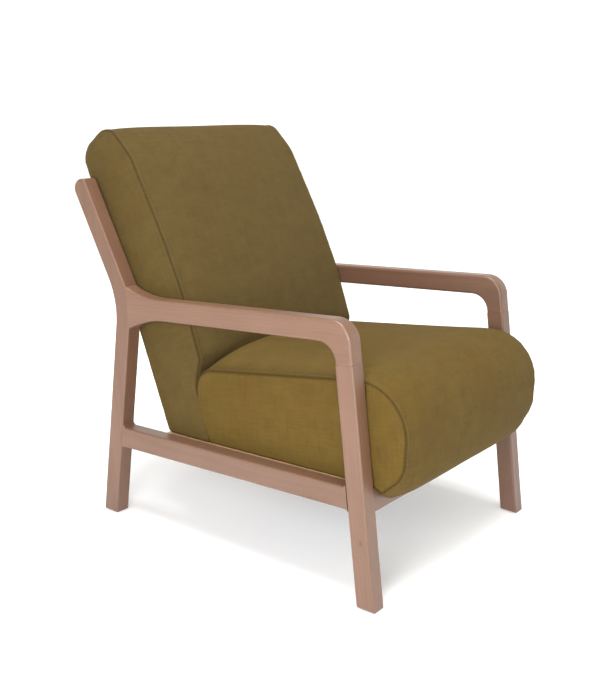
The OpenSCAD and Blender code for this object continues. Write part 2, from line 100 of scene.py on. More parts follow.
def rounded(a, b, c, r, step=5.0, count=None):
    """Points of the arc of radius r that rounds the corner b between a and c."""
    if r <= 0:
        return [b]
    u, v = unit(a - b), unit(c - b)
    half = math.acos(max(-1, min(1, u @ v))) / 2
    centre = b + unit(u + v) * r / math.sin(half)
    start_v = b + u * r / math.tan(half) - centre
    start = math.atan2(start_v[1], start_v[0])
    sweep = (math.pi - 2 * half) * (1 if -cross2(u, v) > 0 else -1)
    n = count or max(2, math.ceil(abs(math.degrees(sweep)) / step))
    angles = [start + sweep * i / n for i in range(n + 1)]
    return [centre + r * vec(math.cos(t), math.sin(t)) for t in angles]


def outline(corners, step=5.0, counts=None):
    n = len(corners)
    p = [c[0] for c in corners]
    out = []
    for i in range(n):
        count = counts[i] if counts else None
        out.append(rounded(p[i - 1], p[i], p[(i + 1) % n], corners[i][1], step, count))
    return out


# ---------------------------------------------------------------- the side frame's lines, as in the CAD

FRONT_D, REAR_D, ARM_D, RAIL_D = 41.0, 40.0, 46.0, 46.0
FOOT_SPAN, BEND_H, POST_TOP, ARM_H, RAIL_H = 742.0, 501.0, 759.0, 569.0, 196.0
# The armrest widens towards the rear leg: how far down and up, and over what length
FLARE_DROP, FLARE_RISE, FLARE_UNDER_L, FLARE_TOP_L = 20, 27, 52, 46
ARM_FILLET = 40           # between the front leg and the armrest's underside
front_u, rear_u, post_u = leaning(FRONT_RAKE), leaning(-REAR_RAKE), leaning(POST_RAKE)
arm_u, rail_u = falling(ARM_SLOPE), falling(RAIL_SLOPE)
front_face, front_back = vec(0, 0), vec(FRONT_D / math.cos(math.radians(FRONT_RAKE)), 0)
rear_back = vec(FOOT_SPAN, 0)
rear_front = vec(FOOT_SPAN - REAR_D / math.cos(math.radians(REAR_RAKE)), 0)
bend = at_height(rear_back, rear_u, BEND_H)
post_front = bend - vec(REAR_D / math.cos(math.radians(POST_RAKE)), 0)
arm_top = at_height(front_face, front_u, ARM_H)
arm_under = arm_top - vec(0, ARM_D / math.cos(math.radians(ARM_SLOPE)))
seat_low = at_height(rear_front, rear_u, at_depth(arm_under, arm_u, FOOT_SPAN)[1] - FLARE_DROP)
seat_high = at_height(post_front, post_u, at_depth(arm_top, arm_u, FOOT_SPAN)[1] + FLARE_RISE)
flare_under = at_depth(arm_under, arm_u, seat_low[0] - FLARE_UNDER_L)
flare_top = at_depth(arm_top, arm_u, seat_high[0] - FLARE_TOP_L)
arm_inner = meet(arm_under, arm_u, front_back, front_u)
leg_top_angle = (90 + ARM_SLOPE - FRONT_RAKE) / 2 + FRONT_RAKE - ARM_SLOPE
leg_top_back = arm_inner - front_u * ARM_FILLET * math.tan(math.radians(leg_top_angle))
leg_top_front = leg_top_back + left_of(front_u) * FRONT_D
rail_under = at_height(front_back, front_u, RAIL_H)
rail_top = rail_under + left_of(rail_u) * RAIL_D
rail_fl = meet(rail_under, rail_u, front_back, front_u)
rail_fh = meet(rail_top, rail_u, front_back, front_u)
rail_rl = meet(rail_under, rail_u, rear_front, rear_u)
rail_rh = meet(rail_top, rail_u, rear_front, rear_u)


# A corner is (point, radius, mark); J marks an edge, from this corner to the next, glued to another member
J = "joint"
front_leg_c = [(at_height(front_face, front_u, GLIDE), 0, ""), (at_height(front_back, front_u, GLIDE), 0, ""),
               (leg_top_back, 0, J), (leg_top_front, 0, "")]
rear_leg_c = [(at_height(rear_front, rear_u, GLIDE), 0, ""), (at_height(rear_back, rear_u, GLIDE), 0, ""),
              (bend, 180, ""), (at_height(bend, post_u, POST_TOP), 22, ""),
              (at_height(post_front, post_u, POST_TOP), 5, ""), (seat_high, 0, J), (seat_low, 0, "")]
arm_c = [(leg_top_back, 0, ""), (arm_inner, ARM_FILLET, ""), (flare_under, 230, ""), (seat_low, 0, J),
         (seat_high, 0, ""), (flare_top, 210, ""), (arm_top, 48, ""), (leg_top_front, 0, J)]

# ---------------------------------------------------------------- mesh helpers


def new_object(name, verts, faces, smooth=True):
    """A mesh object from vertices in row-frame metres."""
    mesh = bpy.data.meshes.new(name)
    mesh.from_pydata([tuple(map(float, v)) for v in verts], [], faces)
    mesh.validate()
    obj = bpy.data.objects.new(name, mesh)
    bpy.context.scene.collection.objects.link(obj)
    for poly in mesh.polygons:
        poly.use_smooth = smooth
    return obj


def vector_attribute(obj, name, values):
    a = obj.data.attributes.new(name, "FLOAT_VECTOR", "POINT")
    a.data.foreach_set("vector", np.asarray(values, np.float32).ravel())


def float_attribute(obj, name, values):
    a = obj.data.attributes.get(name) or obj.data.attributes.new(name, "FLOAT", "POINT")
    a.data.foreach_set("value", np.asarray(values, np.float32).ravel())


def inset_points(points, offsets):
    """Outline points moved inwards; offsets[i] belongs to the edge from point i to point i+1."""
    n = len(points)
    out = []
    for i in range(n):
        e, f = unit(points[i] - points[i - 1]), unit(points[(i + 1) % n] - points[i])
        m, k = left_of(e), left_of(f)
        a, b = offsets[i - 1], offsets[i]
        c = cross2(e, f)
        if abs(c) < 1e-3:
            out.append(points[i] + m * (a + b) / 2)
        else:
            p, q = points[i] + m * a, points[i] + k * b
            out.append(meet(p, e, q, f))
    return out


JOINT_GAP = 0.12
ROUND_STEPS = 5
SHARP_ANGLE = math.radians(40)


def arris_rings(ring_at, arris):
    """Outlines from the outer face's rim to the full section, each with its depth below the face."""
    rings = []
    for j in range(ROUND_STEPS + 1):
        a = math.pi / 2 * j / ROUND_STEPS
        rings.append([(p[0], p[1], arris * (1 - math.cos(a))) for p in ring_at(arris * (1 - math.sin(a)))])
    return rings


def plain_rings(corners, arris):
    """Rings of an outline that is rounded everywhere except along its glued edges."""
    points, glued = [], []
    for group, c in zip(outline([(c[0], c[1]) for c in corners], 4.0), corners):
        points += group
        glued += [False] * (len(group) - 1) + [c[2] == J]
    return arris_rings(lambda inset: inset_points(points, [JOINT_GAP if g else inset for g in glued]), arris)


def rail_rings(arris, fillet=8.0, count=8):
    """Rings of the side rail: its fillets run out on the legs' faces."""
    def ring(inset):
        out = []
        # corner, direction along the rail away from it, up or down the leg, arc run towards the leg or not
        ends = ((rail_fl, rail_u, -front_u, True), (rail_rl, -rail_u, -rear_u, False),
                (rail_rh, -rail_u, rear_u, True), (rail_fh, rail_u, front_u, False))
        for corner, along, leg, into in ends:
            half = math.acos(along @ leg) / 2
            centre = corner + unit(along + leg) * fillet / math.sin(half)
            to_edge = unit(corner + along * fillet / math.tan(half) - centre)
            to_leg = unit(corner + leg * fillet / math.tan(half) - centre)
            reach = fillet + inset
            turn = math.acos(to_edge @ to_leg) - math.acos((fillet - JOINT_GAP) / reach)
            sign = 1 if cross2(to_edge, to_leg) > 0 else -1
            start = math.atan2(to_edge[1], to_edge[0])
            angles = [start + sign * turn * i / count for i in range(count + 1)]
            arc = [centre + reach * vec(math.cos(t), math.sin(t)) for t in angles]
            out += arc[::-1] if into else arc
        return out
    return arris_rings(ring, arris)


def member(name, rings, side, grain_u, grain_at):
    """One timber of a side frame, from its rings at the outer face."""
    n = len(rings[0])
    lo, hi = (-HALF_W, -INNER_X) if side < 0 else (INNER_X, HALF_W)
    verts = [(lo + b, y, z) for ring in rings for y, z, b in ring]
    verts += [(hi - b, y, z) for ring in reversed(rings) for y, z, b in ring]
    count = 2 * len(rings)
    faces = [tuple(range(n - 1, -1, -1)), tuple(range((count - 1) * n, count * n))]
    for r in range(count - 1):
        for i in range(n):
            k = (i + 1) % n
            faces.append((r * n + i, r * n + k, (r + 1) * n + k, (r + 1) * n + i))
    across = left_of(grain_u)
    grain = []
    for x, y, z in verts:
        d = vec(y, z) - grain_at
        grain.append((d @ grain_u * MM, d @ across * MM, (x - (lo + hi) / 2) * MM))
    obj = new_object(name, [(x * MM, (y + ORIGIN_Y) * MM, z * MM) for x, y, z in verts], faces)
    vector_attribute(obj, "grain", grain)
    weighted = obj.modifiers.new("weighted", "WEIGHTED_NORMAL")
    weighted.keep_sharp = True
    weighted.weight = 100
    obj.data.set_sharp_from_angle(angle=SHARP_ANGLE)
    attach(obj, "root")
    return obj


# ---------------------------------------------------------------- shader helpers


class Net:
    """Short calls for building a node tree."""

    def __init__(self, name):
        self.mat = bpy.data.materials.new(name)
        self.mat.use_nodes = True
        self.tree = self.mat.node_tree
        self.tree.nodes.clear()
        self.out = self.tree.nodes.new("ShaderNodeOutputMaterial")
        self.bsdf = self.tree.nodes.new("ShaderNodeBsdfPrincipled")
        self.link(self.bsdf.outputs[0], self.out.inputs["Surface"])

    def link(self, a, b):
        self.tree.links.new(a, b)

    def put(self, socket, value):
        if isinstance(value, bpy.types.NodeSocket):
            self.link(value, socket)
        else:
            socket.default_value = value

    def attribute(self, name):
        n = self.tree.nodes.new("ShaderNodeAttribute")
        n.attribute_name = name
        return n

    def math(self, op, a, b=0.0, c=0.0):
        n = self.tree.nodes.new("ShaderNodeMath")
        n.operation = op
        for socket, value in zip(n.inputs, (a, b, c)):
            self.put(socket, value)
        return n.outputs[0]

    def mapping(self, vector, scale=(1, 1, 1), location=(0, 0, 0)):
        n = self.tree.nodes.new("ShaderNodeMapping")
        self.put(n.inputs["Vector"], vector)
        n.inputs["Scale"].default_value = scale
        n.inputs["Location"].default_value = location
        return n.outputs[0]

    def noise(self, vector, scale, detail=3.0, rough=0.5, distortion=0.0):
        n = self.tree.nodes.new("ShaderNodeTexNoise")
        self.put(n.inputs["Vector"], vector)
        n.inputs["Scale"].default_value = scale
        n.inputs["Detail"].default_value = detail
        n.inputs["Roughness"].default_value = rough
        n.inputs["Distortion"].default_value = distortion
        return n.outputs["Fac"]

    def separate(self, vector):
        n = self.tree.nodes.new("ShaderNodeSeparateXYZ")
        self.put(n.inputs[0], vector)
        return n.outputs

    def ramp(self, fac, stops):
        n = self.tree.nodes.new("ShaderNodeValToRGB")
        self.put(n.inputs[0], fac)
        e = n.color_ramp.elements
        while len(e) > len(stops):
            e.remove(e[-1])
        while len(e) < len(stops):
            e.new(0.5)
        for el, (pos, col) in zip(e, stops):
            el.position = pos
            el.color = (*col, 1) if len(col) == 3 else col
        return n.outputs[0]

    def span(self, value, lo, hi, to_lo=0.0, to_hi=1.0):
        n = self.tree.nodes.new("ShaderNodeMapRange")
        for socket, v in zip(n.inputs[:5], (value, lo, hi, to_lo, to_hi)):
            self.put(socket, v)
        return n.outputs[0]

    def mix(self, fac, a, b):
        n = self.tree.nodes.new("ShaderNodeMix")
        n.data_type = "RGBA"
        self.put(n.inputs[0], fac)
        for socket, value in ((n.inputs[6], a), (n.inputs[7], b)):
            self.put(socket, (*value, 1) if isinstance(value, tuple) and len(value) == 3 else value)
        return n.outputs[2]

    def bump(self, height, strength, distance):
        n = self.tree.nodes.new("ShaderNodeBump")
        self.put(n.inputs["Height"], height)
        n.inputs["Strength"].default_value = strength
        n.inputs["Distance"].default_value = distance
        return n.outputs[0]


def srgb(r, g, b):
    """Linear colour of 0-255 display values."""
    shown = [c / 255 for c in (r, g, b)]
    return tuple(c / 12.92 if c <= 0.04045 else ((c + 0.055) / 1.055) ** 2.4 for c in shown)


def wood(name, light, dark, seed, heart, knots=(), rough=0.42):
    """Lacquered timber. The grain attribute runs (along, across, through) the piece, in metres.

    heart is where the rings' centre lies; a knot is (along, across, through, radius)."""
    net = Net(name)
    g = net.attribute("grain").outputs["Vector"]
    bent = net.mapping(g, (1, 1, 1), (seed * 3.1, seed * 1.7, seed * 0.9))
    sway = net.noise(net.mapping(bent, (2.2, 9, 9)), 1.0, 2.0)
    sway2 = net.noise(net.mapping(bent, (9, 30, 30)), 1.0, 2.0)
    a = net.math("ADD", net.separate(g)[1], heart[0])
    b = net.math("ADD", net.separate(g)[2], heart[1])
    radius = net.math("SQRT", net.math("ADD", net.math("MULTIPLY", a, a), net.math("MULTIPLY", b, b)))
    radius = net.math("ADD", radius, net.math("MULTIPLY", sway, 0.020))
    radius = net.math("ADD", radius, net.math("MULTIPLY", sway2, 0.0022))
    knot_mask = None
    for kx, ky, kz, kr in knots:
        x, y, z = net.separate(g)
        dx = net.math("MULTIPLY", net.math("SUBTRACT", x, kx), 0.55)
        dy, dz = net.math("SUBTRACT", y, ky), net.math("SUBTRACT", z, kz)
        in_plane = net.math("ADD", net.math("MULTIPLY", dx, dx), net.math("MULTIPLY", dy, dy))
        dist = net.math("SQRT", net.math("ADD", in_plane, net.math("MULTIPLY", dz, dz)))
        ragged = net.math("SUBTRACT", net.noise(net.mapping(g, (160, 220, 220)), 1.0), 0.5)
        dist = net.math("ADD", dist, net.math("MULTIPLY", ragged, kr * 0.9))
        near = net.span(dist, kr * 0.6, kr * 1.7, 1.0, 0.0)
        swerve = net.span(dist, 0.0, kr * 7, 1.0, 0.0)
        radius = net.math("ADD", radius, net.math("MULTIPLY", swerve, kr * 2.2))
        knot_mask = near if knot_mask is None else net.math("MAXIMUM", knot_mask, near)
    rings = net.math("FRACT", net.math("MULTIPLY", radius, 150.0))
    ring = net.span(rings, 0.0, 1.0, 0.0, 1.0)
    late = net.math("POWER", ring, 3.0)
    streak = net.noise(net.mapping(bent, (7, 260, 260)), 1.0, 4.0, 0.62)
    broad = net.noise(net.mapping(bent, (1.3, 22, 22)), 1.0, 3.0, 0.55)
    fleck = net.noise(net.mapping(bent, (95, 900, 900)), 1.0, 2.0, 0.5)
    fleck = net.span(fleck, 0.60, 0.72, 0.0, 1.0)
    mottle = net.noise(bent, 9.0, 3.0, 0.5)
    tone = net.math("ADD", net.math("MULTIPLY", broad, 0.62), net.math("MULTIPLY", streak, 0.30))
    tone = net.math("ADD", tone, net.math("MULTIPLY", late, 0.13))
    tone = net.math("ADD", tone, net.math("MULTIPLY", net.math("SUBTRACT", mottle, 0.5), 0.22))
    middle = tuple((p + q) / 2 for p, q in zip(light, dark))
    colour = net.ramp(tone, [(0.24, light), (0.52, middle), (0.84, dark)])
    colour = net.mix(net.math("MULTIPLY", fleck, 0.34), colour, tuple(c * 0.55 for c in dark))
    if knot_mask is not None:
        knot_colour = tuple(c * k for c, k in zip(dark, (0.85, 0.42, 0.36)))
        colour = net.mix(net.math("MULTIPLY", knot_mask, 0.75), colour, knot_colour)
    net.link(colour, net.bsdf.inputs["Base Color"])
    gloss = net.span(streak, 0.3, 0.7, rough - 0.05, rough + 0.09)
    net.link(gloss, net.bsdf.inputs["Roughness"])
    net.bsdf.inputs["Coat Weight"].default_value = 0.18
    net.bsdf.inputs["Coat Roughness"].default_value = 0.34
    height = net.math("SUBTRACT", net.math("MULTIPLY", streak, 0.6), net.math("MULTIPLY", fleck, 0.55))
    net.link(net.bump(height, 0.22, 0.0004), net.bsdf.inputs["Normal"])
    return net.mat


def woven(name, base, dark, seed):
    """Olive linen-look upholstery.

    The cloth attribute holds the panel coordinates (across, along) in metres; seam is 1 on a seam line."""
    net = Net(name)
    uvw = net.attribute("cloth").outputs["Vector"]
    seam = net.attribute("seam").outputs["Fac"]
    shifted = net.mapping(uvw, (1, 1, 1), (seed, seed * 0.7, 0))
    u, v, _ = net.separate(shifted)
    pitch = 0.00125
    wander = net.math("MULTIPLY", net.math("SUBTRACT", net.noise(shifted, 60.0, 2.0), 0.5), 0.0016)
    pu = net.math("MULTIPLY", net.math("ADD", u, wander), math.pi / pitch)
    pv = net.math("MULTIPLY", net.math("ADD", v, wander), math.pi / pitch)
    su, sv = net.math("SINE", pu), net.math("SINE", pv)
    hu, hv = net.math("ABSOLUTE", su), net.math("ABSOLUTE", sv)
    over = net.math("GREATER_THAN", net.math("MULTIPLY", su, sv), 0.0)
    under = net.math("SUBTRACT", 1.0, over)
    weave = net.math("ADD", net.math("MULTIPLY", hu, over), net.math("MULTIPLY", hv, under))
    # Slubs: thicker stretches of single threads, along each direction
    slub_u = net.noise(net.mapping(shifted, (620, 26, 1)), 1.0, 2.0, 0.5)
    slub_v = net.noise(net.mapping(shifted, (30, 560, 1), (3.3, 1.7, 0)), 1.0, 2.0, 0.5)
    fine_u = net.noise(net.mapping(shifted, (260, 9, 1), (1.3, 5.1, 0)), 1.0, 2.0, 0.55)
    fine_v = net.noise(net.mapping(shifted, (10, 240, 1), (7.3, 2.1, 0)), 1.0, 2.0, 0.55)
    thread = net.math("ADD", net.math("MULTIPLY", slub_u, 0.5), net.math("MULTIPLY", slub_v, 0.5))
    melange = net.math("ADD", net.math("MULTIPLY", fine_u, 0.5), net.math("MULTIPLY", fine_v, 0.5))
    cloud = net.noise(shifted, 26.0, 4.0, 0.6)
    nub = net.noise(net.mapping(shifted, (210, 330, 1), (2.7, 0.4, 0)), 1.0, 1.0, 0.5)
    nubs = net.span(nub, 0.68, 0.78, 0.0, 1.0)
    tone = net.math("ADD", net.math("MULTIPLY", thread, 0.46), net.math("MULTIPLY", melange, 0.34))
    tone = net.math("ADD", tone, net.math("MULTIPLY", cloud, 0.24))
    tone = net.math("ADD", tone, net.math("MULTIPLY", weave, 0.10))
    light = tuple(min(1.0, c * 1.32) for c in base)
    colour = net.ramp(tone, [(0.36, dark), (0.54, base), (0.74, light)])
    brown = net.noise(shifted, 7.0, 3.0, 0.6)
    brown_tint = tuple(c * k for c, k in zip(base, (0.97, 0.80, 0.72)))
    nub_tint = tuple(min(1.0, c * k) for c, k in zip(base, (1.85, 1.8, 1.9)))
    colour = net.mix(net.span(brown, 0.42, 0.66, 0.0, 0.30), colour, brown_tint)
    colour = net.mix(net.math("MULTIPLY", nubs, 0.45), colour, nub_tint)
    # Painted shade: the cover is darkened along each seam line, for the shade in the seam's crease, in the
    # gap between the cushions and along the side rail
    colour = net.mix(net.math("MULTIPLY", seam, 0.76), colour, tuple(c * 0.15 for c in dark))
    net.link(colour, net.bsdf.inputs["Base Color"])
    net.bsdf.inputs["Roughness"].default_value = 0.88
    net.bsdf.inputs["Specular IOR Level"].default_value = 0.12
    net.bsdf.inputs["Sheen Weight"].default_value = 0.03
    net.bsdf.inputs["Sheen Roughness"].default_value = 0.45
    net.bsdf.inputs["Sheen Tint"].default_value = (0.80, 0.72, 0.52, 1)
    height = net.math("ADD", net.math("MULTIPLY", weave, 0.55), net.math("MULTIPLY", thread, 0.9))
    height = net.math("ADD", height, net.math("MULTIPLY", nubs, 0.5))
    net.link(net.bump(height, 0.55, 0.0005), net.bsdf.inputs["Normal"])
    return net.mat


def plain(name, colour, rough, metal=0.0, grain=(300.0, 300.0, 300.0), amount=0.18, bump=0.1):
    """Simple finish with a fine procedural grain, for glides, metal, felt, webbing, lining and thread."""
    net = Net(name)
    tex = net.tree.nodes.new("ShaderNodeTexCoord").outputs["Object"]
    n = net.noise(net.mapping(tex, grain), 1.0, 3.0, 0.6)
    darker = tuple(c * (1 - amount) for c in colour)
    lighter = tuple(min(1, c * (1 + amount)) for c in colour)
    net.link(net.ramp(n, [(0.3, darker), (0.7, lighter)]), net.bsdf.inputs["Base Color"])
    net.link(net.span(n, 0.3, 0.7, rough * 0.9, min(1.0, rough * 1.1)), net.bsdf.inputs["Roughness"])
    net.bsdf.inputs["Metallic"].default_value = metal
    net.link(net.bump(n, bump, 0.0005), net.bsdf.inputs["Normal"])
    return net.mat


def softwood(name, along, light, dark, seed):
    """Sawn board, with its grain along row axis 0 (X) or 1 (Y)."""
    net = Net(name)
    tex = net.tree.nodes.new("ShaderNodeTexCoord").outputs["Object"]
    fast, slow = 70.0, 2.5
    scale = (slow, fast, fast) if along == 0 else (fast, slow, fast)
    ring = net.noise(net.mapping(tex, scale, (seed, seed, seed)), 1.0, 2.0, 0.4, 0.6)
    wave = net.math("FRACT", net.math("MULTIPLY", ring, 9.0))
    fibre = net.noise(net.mapping(tex, tuple(s * 9 for s in scale)), 1.0, 3.0)
    tone = net.math("ADD", net.math("MULTIPLY", wave, 0.55), net.math("MULTIPLY", fibre, 0.45))
    net.link(net.ramp(tone, [(0.2, light), (0.85, dark)]), net.bsdf.inputs["Base Color"])
    net.bsdf.inputs["Roughness"].default_value = 0.72
    net.link(net.bump(fibre, 0.25, 0.0006), net.bsdf.inputs["Normal"])
    return net.mat


# ---------------------------------------------------------------- the timber

OUTER_LIGHT, OUTER_DARK = srgb(112, 82, 64), srgb(88, 61, 44)
REAR_GRAIN = unit(at_height(post_front, post_u, POST_TOP) - rear_front)
TIMBERS = (
    # name, outline, grain direction, a point on its middle line, rings' centre, arris
    ("front_leg", front_leg_c, front_u, (leg_top_back + leg_top_front) / 4, (0.05, 0.03), 4.0),
    ("rear_leg", rear_leg_c, REAR_GRAIN, (bend + rear_front) / 2, (0.03, 0.06), 4.0),
    ("armrest", arm_c, arm_u, (arm_top + flare_under) / 2, (0.07, 0.02), 6.0),
    ("side_rail", None, rail_u, (rail_fl + rail_rh) / 2, (0.02, 0.05), 4.0),
)
# Colour scale of each piece: the far (right) side's pieces are darker, as painted shade, and the near armrest
# is lighter, as painted light; the small steps between the parts are their own tone
PIECE_TONE_AND_SIDE_SHADE = {("front_leg", -1): 1.00, ("front_leg", 1): 0.94, ("rear_leg", -1): 0.97, ("rear_leg", 1): 0.95,
        ("armrest", -1): 1.04, ("armrest", 1): 0.97, ("side_rail", -1): 0.98, ("side_rail", 1): 0.95}
KNOTS = {("front_leg", -1): [(-0.103, -0.007, -0.019, 0.0028)],
         ("rear_leg", -1): [(0.30, -0.02, -0.019, 0.0028)]}
for index, (part, corners, grain_u, grain_at, heart, arris) in enumerate(TIMBERS):
    for side in (-1, 1):
        label = f"{part}_{'left' if side < 0 else 'right'}"
        rings = plain_rings(corners, arris) if corners else rail_rings(arris)
        piece = member(label + "_timber", rings, side, grain_u, grain_at)
        # k paints shade on the far side's pieces and light on the near armrest
        k = PIECE_TONE_AND_SIDE_SHADE[(part, side)]
        warm = (k, k * 0.985, k * 0.97)
        light = tuple(c * w for c, w in zip(OUTER_LIGHT, warm))
        dark = tuple(c * w for c, w in zip(OUTER_DARK, warm))
        seed = 1.3 + index * 2.1 + side * 0.6
        piece.data.materials.append(wood("beech_" + label, light, dark, seed, (heart[0], heart[1] * side),
                                         KNOTS.get((part, side), ())))
        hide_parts(label)

# Front rail: a straight bar between the front legs, leaning with them
rail_t, rail_h, rail_low, recess = 24.0, 46.0, 191.0, 2.0
fr_face = vec(recess / math.cos(math.radians(FRONT_RAKE)), 0)
fr_back = fr_face + vec(rail_t / math.cos(math.radians(FRONT_RAKE)), 0)
FRONT_RAIL = [at_height(fr_face, front_u, rail_low), at_height(fr_back, front_u, rail_low),
              at_height(fr_back, front_u, rail_low + rail_h), at_height(fr_face, front_u, rail_low + rail_h)]
RAIL_END_GAP = 0.1


def bar(name, corners, lo, hi, arris):
    """Straight bar along X with rounded long edges and square ends."""
    pts = []
    for i, p in enumerate(corners):
        pts += rounded(corners[i - 1], p, corners[(i + 1) % len(corners)], arris, 18.0)
    n = len(pts)
    verts = [(x, p[0], p[1]) for x in (lo, hi) for p in pts]
    faces = [tuple(range(n - 1, -1, -1)), tuple(range(n, 2 * n))]
    faces += [(i, (i + 1) % n, n + (i + 1) % n, n + i) for i in range(n)]
    obj = new_object(name, [(x * MM, (y + ORIGIN_Y) * MM, z * MM) for x, y, z in verts], faces)
    mid = sum(p[1] for p in pts) / n
    vector_attribute(obj, "grain", [(x * MM, (z - mid) * MM, y * MM) for x, y, z in verts])
    obj.data.set_sharp_from_angle(angle=SHARP_ANGLE)
    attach(obj, "root")
    return obj


front_bar = bar("front_rail_timber", FRONT_RAIL, -INNER_X + RAIL_END_GAP, INNER_X - RAIL_END_GAP, 4.0)
rail_light, rail_dark = tuple(c * 0.93 for c in OUTER_LIGHT), tuple(c * 0.90 for c in OUTER_DARK)
front_bar.data.materials.append(wood("beech_front_rail", rail_light, rail_dark, 9.7, (0.04, 0.05)))
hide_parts("front_rail")

# ---------------------------------------------------------------- the cushions

SEAM_X = 294.0
# Outlines of each cushion at its seams and at its middle, with the number of points on each rounded corner
seat_counts = (4, 4, 4, 8, 10, 26, 14)
SEAT_SIDE = [(vec(30, 229), 6), (vec(54, 240), 2), (vec(467, 221), 3), (vec(506, 298), 60),
             (vec(513, 376.5), 44), (vec(-14, 461.8), 106), (vec(-16.5, 273), 67)]
SEAT_MID = [(vec(33, 202), 6), (vec(54, 240), 2), (vec(466, 230), 3), (vec(506, 298), 60),
            (vec(513, 424), 50), (vec(-17, 478), 112), (vec(-22, 233), 58)]
back_counts = (4, 5, 12, 6, 10, 8, 8, 10, 10, 8, 8, 8)
BACK_SIDE = [(vec(465, 221), 3), (vec(587, 217), 12), (vec(716.5, 501), 900), (vec(863, 790.5), 30),
             (vec(863, 820), 50), (vec(811, 866.8), 43), (vec(778, 866.8), 40), (vec(720, 813.5), 110),
             (vec(616, 644), 900), (vec(558, 533), 500), (vec(505, 402), 12), (vec(513, 340), 26)]
BACK_MID = [(vec(466, 231), 3), (vec(588, 217), 12), (vec(717, 501), 900), (vec(864, 790.5), 30),
            (vec(865, 821), 50), (vec(812, 873), 43), (vec(777, 873), 40), (vec(719, 814), 110),
            (vec(615, 644), 900), (vec(556, 533), 500), (vec(503, 402), 12), (vec(513, 340), 26)]


def loop_points(corners, counts):
    return [p for group in outline(corners, 5.0, counts) for p in group]


def resample(points, spacing):
    """Closed outline with evenly spaced points, and the arc length at each."""
    p = np.array(points + [points[0]])
    run = np.concatenate([[0], np.cumsum(np.linalg.norm(np.diff(p, axis=0), axis=1))])
    n = int(run[-1] / spacing)
    s = np.linspace(0, run[-1], n, endpoint=False)
    return np.stack([np.interp(s, run, p[:, 0]), np.interp(s, run, p[:, 1])], 1), s


# How flat the crown is across the width: a higher power is flatter
CROWN_POWER, LIP_POWER = 4.5, 14.0


def cushion_mesh(name, side_c, mid_c, counts, rear_power):
    """Closed start mesh: side outlines blended from the seam line to the middle, with flat side panels."""
    side, mid = loop_points(side_c, counts), loop_points(mid_c, counts)
    n = len(side)
    xs = [SEAM_X, SEAM_X - 1, SEAM_X - 3] + list(np.linspace(SEAM_X - 10, 0, 24))
    stations = sorted({round(x, 3) for x in xs} | {-round(x, 3) for x in xs})
    # The crown is flatter across the lower front, where the cover is drawn tight over the rail
    low = [max(0.0, min(1.0, (300 - p[1]) / 60)) if p[0] < 60 else 0.0 for p in side]
    rear = [max(0.0, min(1.0, (p[0] - 200) / 200)) if p[1] > 340 else 0.0 for p in side]
    powers = [CROWN_POWER + (LIP_POWER - CROWN_POWER) * k + (rear_power - CROWN_POWER) * m
              for k, m in zip(low, rear)]
    verts = []
    for x in stations:
        verts += [(x, *(a + (b - a) * (1 - abs(x / SEAM_X) ** k))) for a, b, k in zip(side, mid, powers)]
    faces = [tuple(range(n - 1, -1, -1)), tuple(range((len(stations) - 1) * n, len(stations) * n))]
    for r in range(len(stations) - 1):
        for i in range(n):
            k = (i + 1) % n
            faces.append((r * n + i, r * n + k, (r + 1) * n + k, (r + 1) * n + i))
    return new_object(name, [(x * MM, (y + ORIGIN_Y) * MM, z * MM) for x, y, z in verts], faces)


def coords(obj):
    co = np.zeros(len(obj.data.vertices) * 3, np.float32)
    obj.data.vertices.foreach_get("co", co)
    return co.reshape(-1, 3).astype(float)


def set_coords(obj, co):
    obj.data.vertices.foreach_set("co", np.asarray(co, np.float32).ravel())
    obj.data.update()


def normals(obj):
    no = np.zeros(len(obj.data.vertices) * 3, np.float32)
    obj.data.vertices.foreach_get("normal", no)
    return no.reshape(-1, 3).astype(float)


def activate(obj):
    for o in bpy.context.selected_objects:
        o.select_set(False)
    bpy.context.view_layer.objects.active = obj
    obj.select_set(True)


def apply_modifier(obj, modifier):
    activate(obj)
    bpy.ops.object.modifier_apply(modifier=modifier.name)


def nearest(points, targets):
    """Distance to, and index of, the nearest target for each point."""
    tree = KDTree(len(targets))
    for i, t in enumerate(targets):
        tree.insert(t, i)
    tree.balance()
    found = [tree.find(p) for p in points]
    return np.array([f[2] for f in found]), np.array([f[1] for f in found])


def seam_loops(side_c, counts, spacing):
    """Points of both seam lines in row metres, with their arc length."""
    pts, s = resample(loop_points(side_c, counts), spacing)
    loops = []
    for sx in (-1, 1):
        loops += [(sx * SEAM_X * MM, (y + ORIGIN_Y) * MM, z * MM) for y, z in pts]
    return loops, np.concatenate([s, s])


VOXEL = 0.0055
CLOTH_FRAMES = 20
# How firmly the cloth is held, and within what distance of a seam (metres)
HOLD_FULL, HOLD_PART, HOLD_LIGHT = 1.0, 0.6, 0.25
FULL_BAND, PART_BAND, LIGHT_BAND = 0.008, 0.014, 0.020
# Finishing of the surface near the seams (metres)
SEAM_PULL = 0.009                          # reach of the drawing out to the seam lines
BULGE_FROM, BULGE_REACH = 0.004, 0.030     # where a side panel starts to fill out, and how fast
FOLD_DEPTH, FOLD_WIDTH = 0.0015, 0.0024
PUCKER_DEPTH, PUCKER_REACH = 0.00045, 0.010
# Width of the painted shade along each seam line
SEAM_SHADE_WIDTH = 0.0026
FRAME_CLEAR = 2.2                          # mm kept to the inner faces of the side frames


